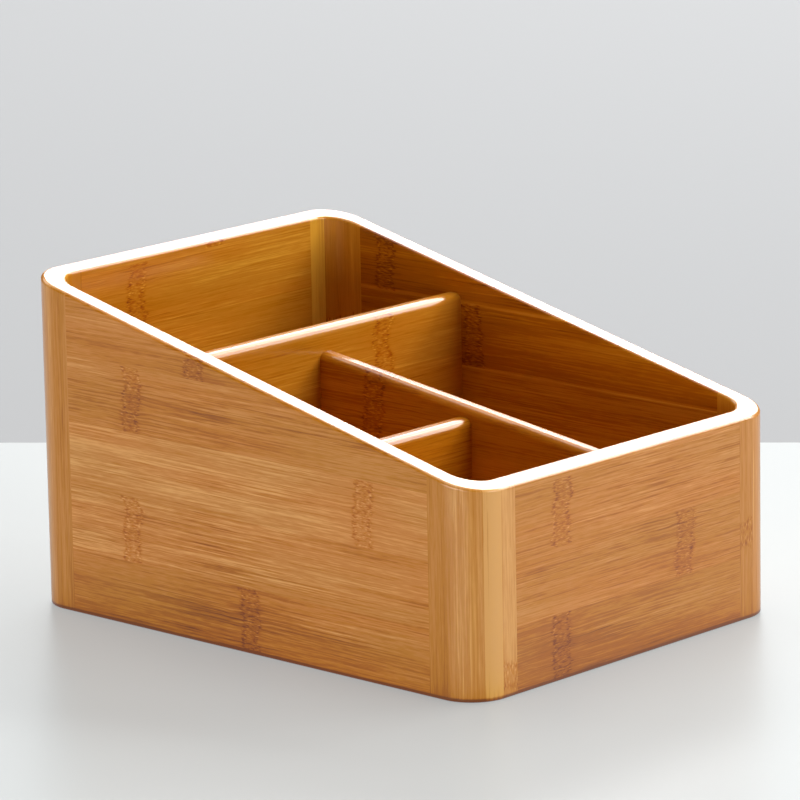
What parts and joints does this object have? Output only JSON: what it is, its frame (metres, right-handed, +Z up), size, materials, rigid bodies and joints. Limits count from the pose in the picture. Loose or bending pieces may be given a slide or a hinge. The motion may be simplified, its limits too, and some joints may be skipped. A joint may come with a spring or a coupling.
{
  "type": "desk organiser",
  "caption": "Bamboo desk organiser for pens and small stationery: a box with rounded corners, a rim that slopes down to the front, and upright dividers inside.",
  "frame": {"origin": "centre of the footprint on the underside, where the organiser rests on the desk", "axes": "+Z up; the low front wall faces -Y and the tall rear wall +Y; width along X"},
  "size_m": [0.165, 0.22, 0.1247],
  "materials": {
    "wall_bamboo": "clear semi-gloss lacquer",
    "post_bamboo": "clear semi-gloss lacquer",
    "divider_bamboo": "clear semi-gloss lacquer",
    "base_bamboo": "clear semi-gloss lacquer"
  },
  "bodies": {
    "root": {"base_strip_1": "base_bamboo", "base_strip_2": "base_bamboo", "base_strip_3": "base_bamboo", "base_strip_4": "base_bamboo", "base_strip_5": "base_bamboo", "base_strip_6": "base_bamboo", "base_strip_7": "base_bamboo", "cross_divider_strip_1": "divider_bamboo", "cross_divider_strip_2": "divider_bamboo", "cross_divider_strip_3": "divider_bamboo", "cross_divider_strip_4": "divider_bamboo", "front_left_post_stave_1": "post_bamboo", "front_left_post_stave_2": "post_bamboo", "front_left_post_stave_3": "post_bamboo", "front_right_post_stave_1": "post_bamboo", "front_right_post_stave_2": "post_bamboo", "front_right_post_stave_3": "post_bamboo", "front_wall_strip_1": "wall_bamboo", "front_wall_strip_2": "wall_bamboo", "front_wall_strip_3": "wall_bamboo", "front_wall_strip_4": "wall_bamboo", "left_wall_strip_1": "wall_bamboo", "left_wall_strip_2": "wall_bamboo", "left_wall_strip_3": "wall_bamboo", "left_wall_strip_4": "wall_bamboo", "left_wall_strip_5": "wall_bamboo", "long_divider_strip_1": "divider_bamboo", "long_divider_strip_2": "divider_bamboo", "long_divider_strip_3": "divider_bamboo", "long_divider_strip_4": "divider_bamboo", "rear_left_post_stave_1": "post_bamboo", "rear_left_post_stave_2": "post_bamboo", "rear_left_post_stave_3": "post_bamboo", "rear_right_post_stave_1": "post_bamboo", "rear_right_post_stave_2": "post_bamboo", "rear_right_post_stave_3": "post_bamboo", "rear_wall_strip_1": "wall_bamboo", "rear_wall_strip_2": "wall_bamboo", "rear_wall_strip_3": "wall_bamboo", "rear_wall_strip_4": "wall_bamboo", "rear_wall_strip_5": "wall_bamboo", "rear_wall_strip_6": "wall_bamboo", "right_wall_strip_1": "wall_bamboo", "right_wall_strip_2": "wall_bamboo", "right_wall_strip_3": "wall_bamboo", "right_wall_strip_4": "wall_bamboo", "right_wall_strip_5": "wall_bamboo", "short_divider_strip_1": "divider_bamboo", "short_divider_strip_2": "divider_bamboo", "short_divider_strip_3": "divider_bamboo"}
  },
  "joints": []
}
